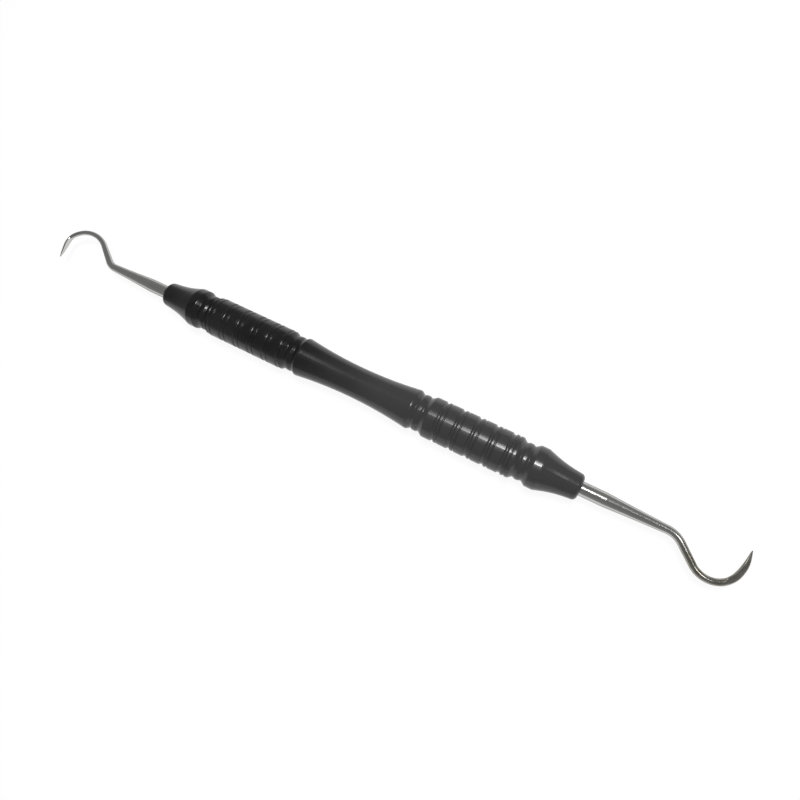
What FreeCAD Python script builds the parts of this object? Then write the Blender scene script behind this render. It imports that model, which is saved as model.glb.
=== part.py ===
import FreeCAD, Part
import math
import os

# Double-ended periodontal curette, millimetres.
# X runs along the handle, Z is up and both hooks lie flat in the XY plane.
# The two halves of the handle mirror each other apart from the grooves of
# the grips, so every other position along it is a distance from its middle.

Vector = FreeCAD.Vector
ORIGIN = Vector(0, 0, 0)
X_AXIS = Vector(1, 0, 0)
Z_AXIS = Vector(0, 0, 1)

# handle
handle_length = 109.0
grip_diameter = 9.6
waist_diameter = 7.4
waist_arc_end = 13.7
waist_arc_end_diameter = 9.16
shoulder_at = 14.75
shoulder_rounding = 0.7

# narrow ring between two notches, at both ends of the grip zone
inner_ring_at = 16.7
outer_ring_at = 41.6
ring_diameter = 8.64
ring_width = 0.7
notch_diameter = 8.06
ring_to_notch = 0.97
ring_rounding = 0.22

# grip zones with groups of one wide and one fine groove; the fine one always
# follows on the right, and the left grip has one group more
grip_start = 18.8
grip_end = 39.65
grip_rounding = 0.4
group_pitch = 4.04
left_groups = dict(first_at=-39.4, count=6)
right_groups = dict(first_at=21.42, count=5)
wide_groove_width = 0.94
wide_groove_depth = 0.32
fine_groove_offset = 1.2
fine_groove_width = 0.42
fine_groove_depth = 0.2

# collar, hollow cone and rounded nose
collar_start = 43.65
collar_end = 45.55
collar_rounding = 0.8
cone_angle = 19.0
cone_lead = 1.0
nose_diameter = 5.84
nose_rounding = 1.0
nose_lead = 1.5

# shank and tang, alike on both working ends
shank_diameter = 3.2
shank_end = 60.0
tang_length = 14.0
taper_diameter = 2.45
bend_diameter = 1.88

# blade face and toe, alike on both working ends
blade_width = 1.27
face_crown = 0.03
heel_length = 1.8
toe_length = 4.1
toe_power = 1.5
point_size = 0.2
belly_power = 2.65

# bent centre line and blade of each end, angles in degrees
right_end = dict(bend_at=73.2, bend_radius=5.4, bend_angle=41.0, run=4.6,
                 hook_radius=5.32, hook_angle=109.3,
                 tip_radius=9.8, tip_angle=24.4, tip_run=1.63,
                 neck_diameter=1.49, blade_depth=1.38, blade_length=7.5)
left_end = dict(bend_at=72.0, bend_radius=3.7, bend_angle=39.6, run=4.9,
                hook_radius=6.93, hook_angle=89.5,
                tip_radius=3.89, tip_angle=46.3, tip_run=3.63,
                neck_diameter=1.09, blade_depth=0.9, blade_length=4.66)

# spacing of the cross-sections that the bent rod is drawn through
section_spacing = 0.4


def outline_point(x, radius):
    return Vector(x, 0, radius)


def line(start, end):
    return Part.LineSegment(start, end).toShape()


def rounded_corner(before, corner, after, radius):
    """Arc that rounds a corner of the outline."""
    back = (before - corner).normalize()
    ahead = (after - corner).normalize()
    half = back.getAngle(ahead) / 2
    reach = radius / math.tan(half)
    inward = (back + ahead).normalize()
    middle = corner + inward * (radius / math.sin(half) - radius)
    return Part.Arc(corner + back * reach, middle, corner + ahead * reach)


def outline(corners):
    """Straight runs through corners (x, radius, rounding); the first and last stay sharp."""
    points = [outline_point(x, radius) for x, radius, rounding in corners]
    edges = []
    start = points[0]
    for i in range(1, len(points) - 1):
        arc = rounded_corner(points[i - 1], points[i], points[i + 1], corners[i][2])
        edges.append(line(start, arc.StartPoint))
        edges.append(arc.toShape())
        start = arc.EndPoint
    edges.append(line(start, points[-1]))
    return edges


def tangent_arc(start, slope, end):
    """Arc from start to end that leaves start falling at slope."""
    chord = end - start
    turn = slope - math.atan2(-chord.z, chord.x)
    across = Vector(chord.z, 0, -chord.x).normalize()
    middle = start + chord * 0.5 + across * (chord.Length / 2 * math.tan(turn / 2))
    return Part.Arc(start, middle, end).toShape()


def ring_corners(at):
    notch = notch_diameter / 2
    ring = ring_diameter / 2
    return [(at - ring_to_notch, notch, ring_rounding),
            (at - ring_width / 2, ring, ring_rounding),
            (at + ring_width / 2, ring, ring_rounding),
            (at + ring_to_notch, notch, ring_rounding)]


def half_handle_outline():
    waist = outline_point(0, waist_diameter / 2)
    arc_end = outline_point(waist_arc_end, waist_arc_end_diameter / 2)
    rise = math.atan2(arc_end.z - waist.z, arc_end.x)
    shoulder = arc_end.z + (shoulder_at - waist_arc_end) * math.tan(2 * rise)
    grip = grip_diameter / 2

    slope = math.radians(cone_angle)
    cone_start = outline_point(collar_end + cone_lead, grip - cone_lead * math.tan(slope))
    end = handle_length / 2
    nose_at = end - nose_lead
    nose = nose_diameter / 2
    chord_fall = math.atan2(cone_start.z - nose, end - cone_start.x)
    cone_end = outline_point(nose_at, nose + nose_lead * math.tan(chord_fall / 2))

    corners = [(arc_end.x, arc_end.z, 0), (shoulder_at, shoulder, shoulder_rounding)]
    corners += ring_corners(inner_ring_at)
    corners += [(grip_start, grip, grip_rounding), (grip_end, grip, grip_rounding)]
    corners += ring_corners(outer_ring_at)
    corners += [(collar_start, grip, grip_rounding), (collar_end, grip, collar_rounding)]
    corners += [(cone_start.x, cone_start.z, 0)]

    bore = shank_diameter / 2
    floor = end - tang_length
    edges = [line(ORIGIN, waist), tangent_arc(waist, 0, arc_end)]
    edges += outline(corners)
    edges.append(tangent_arc(cone_start, slope, cone_end))
    edges += outline([(cone_end.x, cone_end.z, 0), (end, nose, nose_rounding), (end, bore, 0)])
    edges.append(line(outline_point(end, bore), outline_point(floor, bore)))
    edges.append(line(outline_point(floor, bore), outline_point(floor, 0)))
    edges.append(line(outline_point(floor, 0), ORIGIN))
    return edges


def groove_cutter(at, width, depth):
    """Ring of round section that leaves a groove of this width and depth in the grip."""
    radius = (width * width / 4 + depth * depth) / (2 * depth)
    centre = grip_diameter / 2 - depth + radius
    return Part.makeTorus(centre, radius, Vector(at, 0, 0), X_AXIS)


def groove_cutters(groups):
    """Grooves of one grip; a fine one that would miss the grip is left out."""
    cutters = []
    for i in range(groups["count"]):
        at = groups["first_at"] + i * group_pitch
        cutters.append(groove_cutter(at, wide_groove_width, wide_groove_depth))
        fine_at = at + fine_groove_offset
        if grip_start < abs(fine_at) < grip_end:
            cutters.append(groove_cutter(fine_at, fine_groove_width, fine_groove_depth))
    return cutters


def handle():
    half = Part.Face(Part.Wire(half_handle_outline())).revolve(ORIGIN, X_AXIS, 360)
    whole = half.fuse(half.mirror(ORIGIN, X_AXIS)).removeSplitter()
    return whole.cut(groove_cutters(left_groups) + groove_cutters(right_groups))


def straight_shank(end):
    """Tang, round shank and hollow taper as far as the bend."""
    start = handle_length / 2 - tang_length
    shank = shank_diameter / 2
    bend = bend_diameter / 2
    middle = outline_point((shank_end + end["bend_at"]) / 2, taper_diameter / 2)
    taper = Part.Arc(outline_point(shank_end, shank), middle, outline_point(end["bend_at"], bend))
    edges = [line(outline_point(start, 0), outline_point(start, shank)),
             line(outline_point(start, shank), outline_point(shank_end, shank)),
             taper.toShape(),
             line(outline_point(end["bend_at"], bend), outline_point(end["bend_at"], 0)),
             line(outline_point(end["bend_at"], 0), outline_point(start, 0))]
    return Part.Face(Part.Wire(edges)).revolve(ORIGIN, X_AXIS, 360)


def centre_line(end):
    """Pieces (length, turn in radians) of the bent centre line after the bend starts."""
    bend = math.radians(end["bend_angle"])
    hook = math.radians(end["hook_angle"])
    tip = math.radians(end["tip_angle"])
    return [(end["bend_radius"] * bend, -bend),
            (end["run"], 0),
            (end["hook_radius"] * hook, hook),
            (end["tip_radius"] * tip, tip),
            (end["tip_run"], 0)]


def place_on(pieces, start, distance):
    """Point and direction angle at a distance along the centre line."""
    point = start
    angle = 0
    for length, turn in pieces:
        part = min(distance, length)
        swing = turn * part / length
        chord = part
        if turn:
            chord = 2 * length / turn * math.sin(swing / 2)
        heading = angle + swing / 2
        point = point + Vector(math.cos(heading), math.sin(heading), 0) * chord
        angle += swing
        distance -= part
        if distance <= 0:
            break
    return point, angle


def quarter_ellipse(centre, start, end):
    """Quarter of an ellipse about centre, from centre + start to centre + end."""
    curve = Part.BSplineCurve()
    poles = [centre + start, centre + start + end, centre + end]
    curve.buildFromPolesMultsKnots(poles, [3, 3], [0, 1], False, 2, [1, math.sqrt(0.5), 1])
    return curve.toShape()


def section(point, angle, half_width, depth, flatness):
    """Round section for flatness 0, half-round with its face toward the hook for 1."""
    inward = Vector(-math.sin(angle), math.cos(angle), 0)
    edge = flatness * (depth / 2 - face_crown)
    centre = point + inward * edge
    side = Z_AXIS * half_width
    face = inward * (depth / 2 - edge)
    back = inward * -(depth / 2 + edge)
    return Part.Wire([quarter_ellipse(centre, side, face),
                      quarter_ellipse(centre, face, side * -1),
                      quarter_ellipse(centre, side * -1, back),
                      quarter_ellipse(centre, back, side)])


def smooth(value):
    value = min(max(value, 0), 1)
    return value * value * (3 - 2 * value)


def bent_rod(end):
    """Bend, hook and blade, drawn through cross-sections along the centre line."""
    pieces = centre_line(end)
    total = sum(length for length, turn in pieces)
    blade = total - end["blade_length"]
    heel = blade - heel_length
    toe = total - toe_length
    count = round(total / section_spacing)

    wires = []
    for i in range(count + 1):
        at = total * i / count
        point, angle = place_on(pieces, Vector(end["bend_at"], 0, 0), at)
        thinning = 1 - (1 - min(at / blade, 1)) ** 2
        neck = bend_diameter + (end["neck_diameter"] - bend_diameter) * thinning
        belly = 1 - (max(at - blade, 0) / end["blade_length"]) ** belly_power
        blade_depth = point_size + (end["blade_depth"] - point_size) * belly
        flatness = smooth((at - heel) / heel_length)
        depth = neck + (blade_depth - neck) * flatness
        width = neck + (blade_width - neck) * flatness
        narrowing = (max(at - toe, 0) / toe_length) ** toe_power
        width += (point_size - width) * narrowing
        wires.append(section(point, angle, width / 2, depth, flatness))
    return Part.makeLoft(wires, True)


def working_end(end):
    return straight_shank(end).fuse(bent_rod(end))


def main():
    right = working_end(right_end)
    left = working_end(left_end)
    left.rotate(ORIGIN, Z_AXIS, 180)
    nodes = {"handle": handle(), "working_end_right": right, "working_end_left": left}

    box = Part.makeCompound(list(nodes.values())).optimalBoundingBox(False, False)
    to_frame = Vector(-(box.XMin + box.XMax) / 2, -(box.YMin + box.YMax) / 2, -box.ZMin)
    os.makedirs("parts", exist_ok=True)
    for name, shape in nodes.items():
        shape.translate(to_frame)
        shape.exportStep("parts/" + name + ".step")
        print(name, "volume", round(shape.Volume, 2), "valid", shape.isValid(), "solids", len(shape.Solids))
    print("length", round(box.XLength, 2), "width", round(box.YLength, 2), "height", round(box.ZLength, 2))


main()
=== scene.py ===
# Periodontal curette, looks and studio. Everything is in metres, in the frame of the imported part.
import math

import bpy
from mathutils import Euler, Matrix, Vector


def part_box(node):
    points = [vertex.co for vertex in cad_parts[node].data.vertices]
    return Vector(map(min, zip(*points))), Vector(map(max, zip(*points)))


mm = 0.001


# small helpers for node trees

def addNode(tree, kind, inputs=None, **settings):
    node = tree.nodes.new(kind)
    for name, value in settings.items():
        setattr(node, name, value)
    for name, value in (inputs or {}).items():
        node.inputs[name].default_value = value
    return node


def joinUp(tree, *pairs):
    for output, target in pairs:
        tree.links.new(output, target)


def maths(tree, operation, first, second):
    node = addNode(tree, "ShaderNodeMath", operation=operation)
    for socket, value in zip(node.inputs, (first, second)):
        if isinstance(value, (int, float)):
            socket.default_value = value
        else:
            tree.links.new(value, socket)
    return node.outputs["Value"]


def remap(tree, value, fromMin, fromMax, toMin, toMax):
    # clamps as well, so a mask stays inside its limits
    node = addNode(tree, "ShaderNodeMapRange", {"From Min": fromMin, "From Max": fromMax,
                                                "To Min": toMin, "To Max": toMax})
    tree.links.new(value, node.inputs["Value"])
    return node.outputs["Result"]


def mixColours(tree, factor, first, second):
    node = addNode(tree, "ShaderNodeMix", data_type="RGBA")
    tree.links.new(factor, node.inputs[0])
    for socket, colour in ((node.inputs[6], first), (node.inputs[7], second)):
        if isinstance(colour, tuple):
            socket.default_value = (*colour, 1)
        else:
            tree.links.new(colour, socket)
    return node.outputs[2]


def newGroup(name, inputs, outputs):
    tree = bpy.data.node_groups.new(name, "ShaderNodeTree")
    for label, value in inputs.items():
        socket = tree.interface.new_socket(label, in_out="INPUT", socket_type="NodeSocketFloat")
        socket.default_value = value
    for label in outputs:
        tree.interface.new_socket(label, in_out="OUTPUT", socket_type="NodeSocketFloat")
    return tree, tree.nodes.new("NodeGroupInput").outputs, tree.nodes.new("NodeGroupOutput").inputs


def placeGroup(tree, group, values):
    node = addNode(tree, "ShaderNodeGroup", node_tree=group)
    for name, value in values.items():
        node.inputs[name].default_value = value
    return node.outputs


def newMaterial(name):
    material = bpy.data.materials.new(name)
    material.use_nodes = True
    return material, material.node_tree, material.node_tree.nodes["Principled BSDF"]


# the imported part

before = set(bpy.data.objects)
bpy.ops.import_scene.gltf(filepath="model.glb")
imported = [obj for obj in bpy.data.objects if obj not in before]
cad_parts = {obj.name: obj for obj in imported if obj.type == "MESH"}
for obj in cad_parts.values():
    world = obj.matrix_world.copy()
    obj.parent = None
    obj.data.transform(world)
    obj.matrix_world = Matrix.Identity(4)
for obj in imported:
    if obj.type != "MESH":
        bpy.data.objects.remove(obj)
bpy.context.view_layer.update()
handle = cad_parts["handle"]
handleLow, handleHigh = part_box("handle")
handleMiddle = (handleLow + handleHigh) / 2
print("frame loaded:", ", ".join(sorted(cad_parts)))


# effects that both finishes use

def makeTurningMarks():
    # fine rings round X, as a lathe tool or a grinding wheel leaves them
    tree, given, out = newGroup("turningMarks", {"RingsPerMetre": 9000.0, "Unevenness": 0.5}, ["Rings"])
    place = addNode(tree, "ShaderNodeTexCoord")
    split = addNode(tree, "ShaderNodeSeparateXYZ")
    fine = addNode(tree, "ShaderNodeTexNoise", {"Detail": 2.0, "Roughness": 0.6}, noise_dimensions="1D")
    patches = addNode(tree, "ShaderNodeTexNoise", {"Scale": 900.0, "Detail": 1.0})
    along = maths(tree, "MULTIPLY", split.outputs["X"], given["RingsPerMetre"])
    joinUp(tree, (place.outputs["Object"], split.inputs["Vector"]),
           (place.outputs["Object"], patches.inputs["Vector"]),
           (along, fine.inputs["W"]))
    fading = maths(tree, "MULTIPLY", patches.outputs["Fac"], given["Unevenness"])
    strength = maths(tree, "SUBTRACT", 1.0, fading)
    joinUp(tree, (maths(tree, "MULTIPLY", fine.outputs["Fac"], strength), out["Rings"]))
    return tree


def makeEdgeWear():
    # convex edges and grooves, broken up so that neither is an even line
    tree, given, out = newGroup("edgeWear", {"Reach": 0.2 * mm, "Breakup": 0.5}, ["Edge", "Groove"])
    edge = addNode(tree, "ShaderNodeAmbientOcclusion", samples=8, inside=True, only_local=True)
    groove = addNode(tree, "ShaderNodeAmbientOcclusion", samples=8, only_local=True)
    place = addNode(tree, "ShaderNodeTexCoord")
    patches = addNode(tree, "ShaderNodeTexNoise", {"Scale": 1400.0, "Detail": 3.0, "Roughness": 0.65})
    joinUp(tree, (given["Reach"], edge.inputs["Distance"]),
           (maths(tree, "MULTIPLY", given["Reach"], 3.0), groove.inputs["Distance"]),
           (place.outputs["Object"], patches.inputs["Vector"]))
    broken = maths(tree, "MULTIPLY", remap(tree, patches.outputs["Fac"], 0.35, 0.65, 0, 1), given["Breakup"])
    kept = maths(tree, "SUBTRACT", 1.0, broken)
    worn = remap(tree, edge.outputs["AO"], 0.9, 0.45, 0, 1)
    joinUp(tree, (maths(tree, "MULTIPLY", worn, kept), out["Edge"]),
           (remap(tree, groove.outputs["AO"], 0.95, 0.5, 0, 1), out["Groove"]))
    return tree


def makeSatinGrain():
    # fine blasted or brushed grain, and the soft smudges of handling over it
    tree, given, out = newGroup("satinGrain", {"GrainsPerMetre": 9000.0, "SmudgesPerMetre": 160.0},
                                ["Grain", "Smudge"])
    place = addNode(tree, "ShaderNodeTexCoord")
    grain = addNode(tree, "ShaderNodeTexNoise", {"Detail": 3.0, "Roughness": 0.7})
    smudge = addNode(tree, "ShaderNodeTexNoise", {"Detail": 4.0, "Roughness": 0.6, "Distortion": 0.6})
    joinUp(tree, (place.outputs["Object"], grain.inputs["Vector"]),
           (place.outputs["Object"], smudge.inputs["Vector"]),
           (given["GrainsPerMetre"], grain.inputs["Scale"]),
           (given["SmudgesPerMetre"], smudge.inputs["Scale"]),
           (grain.outputs["Fac"], out["Grain"]),
           (remap(tree, smudge.outputs["Fac"], 0.3, 0.7, 0, 1), out["Smudge"]))
    return tree


turningMarks = makeTurningMarks()
edgeWear = makeEdgeWear()
satinGrain = makeSatinGrain()
print("shared effects built")


# handle: turned aluminium, anodised satin black

handleLook = {
    # painted shade: the left half's black is much darker than the right half's, blended across the middle
    # from fadeFrom to fadeTo
    "shadedSideBlack": (0.004, 0.004, 0.004),
    "litSideBlack": (0.04, 0.04, 0.0415),
    "fadeFrom": -14 * mm,
    "fadeTo": 6 * mm,
    "cloudStrength": 0.2,
    "edge": (0.11, 0.11, 0.115),
    "edgeStrength": 0.16,
    "marks": {"RingsPerMetre": 11000.0, "Unevenness": 0.6},
    "wear": {"Reach": 0.16 * mm, "Breakup": 0.7},
    "grain": {"GrainsPerMetre": 14000.0, "SmudgesPerMetre": 150.0},
    "satinMix": {"smudge": 0.5, "rings": 0.5},
    "satinRange": (0.2, 0.75),
    "roughness": (0.2, 0.26),
    "grooveRoughness": 0.32,
    "roundedEdge": 0.1 * mm,
    "bumpMix": {"rings": 0.7, "grain": 0.3},
    "bumpStrength": 0.5,
    "markDepth": 0.0015 * mm,
    "specular": 0.45,
}


def dressHandle(look):
    material, tree, shader = newMaterial("anodisedBlack")
    place = addNode(tree, "ShaderNodeTexCoord")
    split = addNode(tree, "ShaderNodeSeparateXYZ")
    joinUp(tree, (place.outputs["Object"], split.inputs["Vector"]))
    marks = placeGroup(tree, turningMarks, look["marks"])
    wear = placeGroup(tree, edgeWear, look["wear"])
    grain = placeGroup(tree, satinGrain, look["grain"])

    # painted shade: the left half is painted near black and the right half a greyer black, in place of less
    # light falling on the left half; greyer again where the edges are rubbed
    fade = remap(tree, split.outputs["X"], look["fadeFrom"], look["fadeTo"], 0, 1)
    colour = mixColours(tree, fade, look["shadedSideBlack"], look["litSideBlack"])
    clouds = maths(tree, "MULTIPLY", grain["Smudge"], look["cloudStrength"])
    cloudy = mixColours(tree, clouds, colour, look["litSideBlack"])
    rubbed = maths(tree, "MULTIPLY", wear["Edge"], look["edgeStrength"])
    joinUp(tree, (mixColours(tree, rubbed, cloudy, look["edge"]), shader.inputs["Base Color"]))

    # uneven where it is handled, duller down in the grooves
    satin = maths(tree, "ADD", maths(tree, "MULTIPLY", grain["Smudge"], look["satinMix"]["smudge"]),
                  maths(tree, "MULTIPLY", marks["Rings"], look["satinMix"]["rings"]))
    rough = remap(tree, satin, *look["satinRange"], *look["roughness"])
    dulled = maths(tree, "MULTIPLY", wear["Groove"], look["grooveRoughness"] - look["roughness"][1])
    joinUp(tree, (maths(tree, "ADD", rough, dulled), shader.inputs["Roughness"]))

    bevel = addNode(tree, "ShaderNodeBevel", {"Radius": look["roundedEdge"]}, samples=6)
    bump = addNode(tree, "ShaderNodeBump", {"Strength": look["bumpStrength"], "Distance": look["markDepth"]})
    height = maths(tree, "ADD", maths(tree, "MULTIPLY", marks["Rings"], look["bumpMix"]["rings"]),
                   maths(tree, "MULTIPLY", grain["Grain"], look["bumpMix"]["grain"]))
    joinUp(tree, (bevel.outputs["Normal"], bump.inputs["Normal"]),
           (height, bump.inputs["Height"]),
           (bump.outputs["Normal"], shader.inputs["Normal"]))
    shader.inputs["Metallic"].default_value = 0.0
    shader.inputs["Specular IOR Level"].default_value = look["specular"]
    return material


# working ends: ground stainless steel

steelLook = {
    "steel": (0.6, 0.6, 0.588),
    "stain": (0.23, 0.208, 0.155),
    "stainStrength": (0.16, 0.95),
    "leastStain": 0.4,
    "stainFrom": 74 * mm,
    "stainTo": 78 * mm,
    "edge": (0.34, 0.34, 0.335),
    "grazing": (0.3, 0.3, 0.285),
    "marks": {"RingsPerMetre": 16000.0, "Unevenness": 0.8},
    "ringsFrom": 70 * mm,
    "ringsTo": 76 * mm,
    "wear": {"Reach": 0.1 * mm, "Breakup": 0.3},
    "grain": {"GrainsPerMetre": 22000.0, "SmudgesPerMetre": 420.0},
    "satinMix": {"smudge": 0.6, "rings": 0.5},
    "satinRange": (0.1, 0.9),
    "roughness": (0.14, 0.2),
    "bumpGrain": 0.4,
    "bumpStrength": 0.4,
    "markDepth": 0.0002 * mm,
}


def dressSteel(look):
    material, tree, shader = newMaterial("groundSteel")
    place = addNode(tree, "ShaderNodeTexCoord")
    split = addNode(tree, "ShaderNodeSeparateXYZ")
    joinUp(tree, (place.outputs["Object"], split.inputs["Vector"]))
    marks = placeGroup(tree, turningMarks, look["marks"])
    wear = placeGroup(tree, edgeWear, look["wear"])
    grain = placeGroup(tree, satinGrain, look["grain"])

    # straw-coloured stain in soft patches, heavier round the right hook, and plain steel along the edges
    strength = remap(tree, split.outputs["X"], look["stainFrom"], look["stainTo"], *look["stainStrength"])
    patches = remap(tree, grain["Smudge"], 0, 1, look["leastStain"], 1)
    stain = maths(tree, "MULTIPLY", patches, strength)
    colour = mixColours(tree, stain, look["steel"], look["stain"])
    joinUp(tree, (mixColours(tree, wear["Edge"], colour, look["edge"]), shader.inputs["Base Color"]))

    # the wheel's rings stop where the straight shank ends
    fromMiddle = maths(tree, "ABSOLUTE", split.outputs["X"], 0.0)
    onShank = remap(tree, fromMiddle, look["ringsFrom"], look["ringsTo"], 1, 0)
    rings = maths(tree, "MULTIPLY", marks["Rings"], onShank)
    satin = maths(tree, "ADD", maths(tree, "MULTIPLY", grain["Smudge"], look["satinMix"]["smudge"]),
                  maths(tree, "MULTIPLY", rings, look["satinMix"]["rings"]))
    rough = remap(tree, satin, *look["satinRange"], *look["roughness"])
    joinUp(tree, (rough, shader.inputs["Roughness"]))

    bump = addNode(tree, "ShaderNodeBump", {"Strength": look["bumpStrength"], "Distance": look["markDepth"]})
    height = maths(tree, "ADD", rings, maths(tree, "MULTIPLY", grain["Grain"], look["bumpGrain"]))
    joinUp(tree, (height, bump.inputs["Height"]), (bump.outputs["Normal"], shader.inputs["Normal"]))
    shader.inputs["Metallic"].default_value = 1.0
    shader.inputs["Specular Tint"].default_value = (*look["grazing"], 1)
    return material


def dress(node, material):
    for slot in node.material_slots:
        slot.material = material


dress(handle, dressHandle(handleLook))
steelMaterial = dressSteel(steelLook)
for name in ("working_end_left", "working_end_right"):
    dress(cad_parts[name], steelMaterial)
print("handle and working ends dressed")


# studio: pale floor that sweeps up far out, soft lamps, a dim room round it

studio = {
    "floorRadius": 0.9,
    "sweepHeight": 0.1,
    "sweepReach": 0.3,
    "sweepSteps": 16,
    "floorSides": 96,
    "floorColour": (0.8, 0.8, 0.8),
    "shownColour": (0.1, 0.1, 0.1),
    "shownGlow": 0.92,
    "fadeFrom": 0.45,
    "room": ((0.0, 0.38), (0.2, 0.3), (0.5, 0.26), (0.82, 0.22), (0.95, 0.17), (1.0, 0.15)),
}

# the first four lamps are the panels of one long softbox over the tool, each with its own glow
lamps = {
    "farPanel": {"place": (-30 * mm, 70 * mm, 360 * mm), "aim": (-30 * mm, 0, 5 * mm),
                 "size": (40 * mm, 110 * mm), "glow": 6.5},
    "middlePanel": {"place": (12 * mm, 70 * mm, 360 * mm), "aim": (12 * mm, 0, 5 * mm),
                    "size": (44 * mm, 110 * mm), "glow": 13},
    "keyPanel": {"place": (49 * mm, 64 * mm, 360 * mm), "aim": (49 * mm, 0, 5 * mm),
                 "size": (30 * mm, 104 * mm), "glow": 57},
    "endPanel": {"place": (87 * mm, 150 * mm, 350 * mm), "aim": (87 * mm, 0, 5 * mm),
                 "size": (24 * mm, 90 * mm), "glow": 0.45},
    "sideLamp": {"place": (228 * mm, 125 * mm, 369 * mm), "aim": (80 * mm, -5 * mm, 5 * mm),
                 "size": (40 * mm, 80 * mm), "glow": 5},
}


def makeFloor(look):
    # flat disc, then a quarter ellipse upward
    rings = [look["floorRadius"]]
    heights = [0.0]
    for i in range(1, look["sweepSteps"] + 1):
        turn = math.pi / 2 * i / look["sweepSteps"]
        rings.append(look["floorRadius"] + look["sweepReach"] * math.sin(turn))
        heights.append(look["sweepHeight"] * (1 - math.cos(turn)))
    sides = look["floorSides"]
    points = [(0, 0, 0)]
    for radius, height in zip(rings, heights):
        for i in range(sides):
            angle = math.tau * i / sides
            points.append((radius * math.cos(angle), radius * math.sin(angle), height))
    faces = [(0, 1 + i, 1 + (i + 1) % sides) for i in range(sides)]
    for ring in range(len(rings) - 1):
        inner, outer = 1 + ring * sides, 1 + (ring + 1) * sides
        for i in range(sides):
            after = (i + 1) % sides
            faces.append((inner + i, outer + i, outer + after, inner + after))
    mesh = bpy.data.meshes.new("floor")
    mesh.from_pydata(points, [], faces)
    mesh.shade_smooth()
    floor = bpy.data.objects.new("floor", mesh)
    bpy.context.scene.collection.objects.link(floor)

    # seen straight or in the steel it is near white and keeps the shadow, otherwise it is pale paper
    material, tree, shader = newMaterial("palePaper")
    tree.nodes.remove(shader)
    paper = addNode(tree, "ShaderNodeBsdfDiffuse", {"Color": (*look["floorColour"], 1)})
    shownPaper = addNode(tree, "ShaderNodeBsdfDiffuse", {"Color": (*look["shownColour"], 1)})
    glow = addNode(tree, "ShaderNodeEmission")
    # far out it fades to the room's own grey, so no line shows where it ends
    place = addNode(tree, "ShaderNodeTexCoord")
    fromTool = addNode(tree, "ShaderNodeVectorMath", operation="LENGTH")
    fade = addNode(tree, "ShaderNodeMapRange",
                   {"From Min": look["fadeFrom"], "From Max": look["floorRadius"] + look["sweepReach"],
                    "To Min": look["shownGlow"], "To Max": look["room"][0][1]},
                   interpolation_type="SMOOTHSTEP")
    joinUp(tree, (place.outputs["Object"], fromTool.inputs[0]),
           (fromTool.outputs["Value"], fade.inputs["Value"]),
           (fade.outputs["Result"], glow.inputs["Strength"]))
    shown = addNode(tree, "ShaderNodeAddShader")
    choose = addNode(tree, "ShaderNodeMixShader")
    path = addNode(tree, "ShaderNodeLightPath")
    seen = maths(tree, "MAXIMUM", path.outputs["Is Camera Ray"], path.outputs["Is Glossy Ray"])
    seen = maths(tree, "MAXIMUM", seen, path.outputs["Is Transmission Ray"])
    joinUp(tree, (shownPaper.outputs["BSDF"], shown.inputs[0]),
           (glow.outputs["Emission"], shown.inputs[1]),
           (seen, choose.inputs["Fac"]),
           (paper.outputs["BSDF"], choose.inputs[1]),
           (shown.outputs["Shader"], choose.inputs[2]),
           (choose.outputs["Shader"], tree.nodes["Material Output"].inputs["Surface"]))
    mesh.materials.append(material)


def makeLamp(name, look):
    light = bpy.data.lights.new(name, "AREA")
    light.shape = "RECTANGLE"
    light.size, light.size_y = look["size"]
    # glow counts white as 1, and this gives its watts, so a larger panel isn't dimmer
    light.energy = look["glow"] * 4 * look["size"][0] * look["size"][1]
    lamp = bpy.data.objects.new(name, light)
    bpy.context.scene.collection.objects.link(lamp)
    lamp.location = look["place"]
    lamp.rotation_euler = (Vector(look["aim"]) - lamp.location).to_track_quat("-Z", "Y").to_euler()


def makeRoom(look):
    # paler low down and darker overhead, by the height of the direction looked in
    world = bpy.data.worlds.new("room")
    bpy.context.scene.world = world
    world.use_nodes = True
    tree = world.node_tree
    place = addNode(tree, "ShaderNodeTexCoord")
    split = addNode(tree, "ShaderNodeSeparateXYZ")
    ramp = addNode(tree, "ShaderNodeValToRGB")
    stops = ramp.color_ramp.elements
    while len(stops) < len(look["room"]):
        stops.new(0.5)
    for stop, (position, grey) in zip(stops, look["room"]):
        stop.position = position
        stop.color = (grey, grey, grey, 1)
    joinUp(tree, (place.outputs["Generated"], split.inputs["Vector"]),
           (split.outputs["Z"], ramp.inputs["Fac"]),
           (ramp.outputs["Color"], tree.nodes["Background"].inputs["Color"]))


makeFloor(studio)
makeRoom(studio)
for name, look in lamps.items():
    makeLamp(name, look)
print("floor, lamps and room built")


# camera at the photograph's angle, measured from the middle of the handle

cameraSetup = {
    "lens": 29.356,
    "sensor": 36.0,
    "fromHandle": (45.709 * mm, -15.059 * mm, 142.930 * mm),
    "turn": (11.600, 9.511, 26.990),
}

camera = bpy.data.cameras.new("camera")
camera.lens = cameraSetup["lens"]
camera.sensor_width = cameraSetup["sensor"]
camera.clip_start = 1 * mm
cameraObject = bpy.data.objects.new("camera", camera)
bpy.context.scene.collection.objects.link(cameraObject)
cameraObject.location = handleMiddle + Vector(cameraSetup["fromHandle"])
cameraObject.rotation_euler = Euler([math.radians(angle) for angle in cameraSetup["turn"]])
bpy.context.scene.camera = cameraObject
bpy.context.scene.view_settings.view_transform = "Standard"
print("camera set")
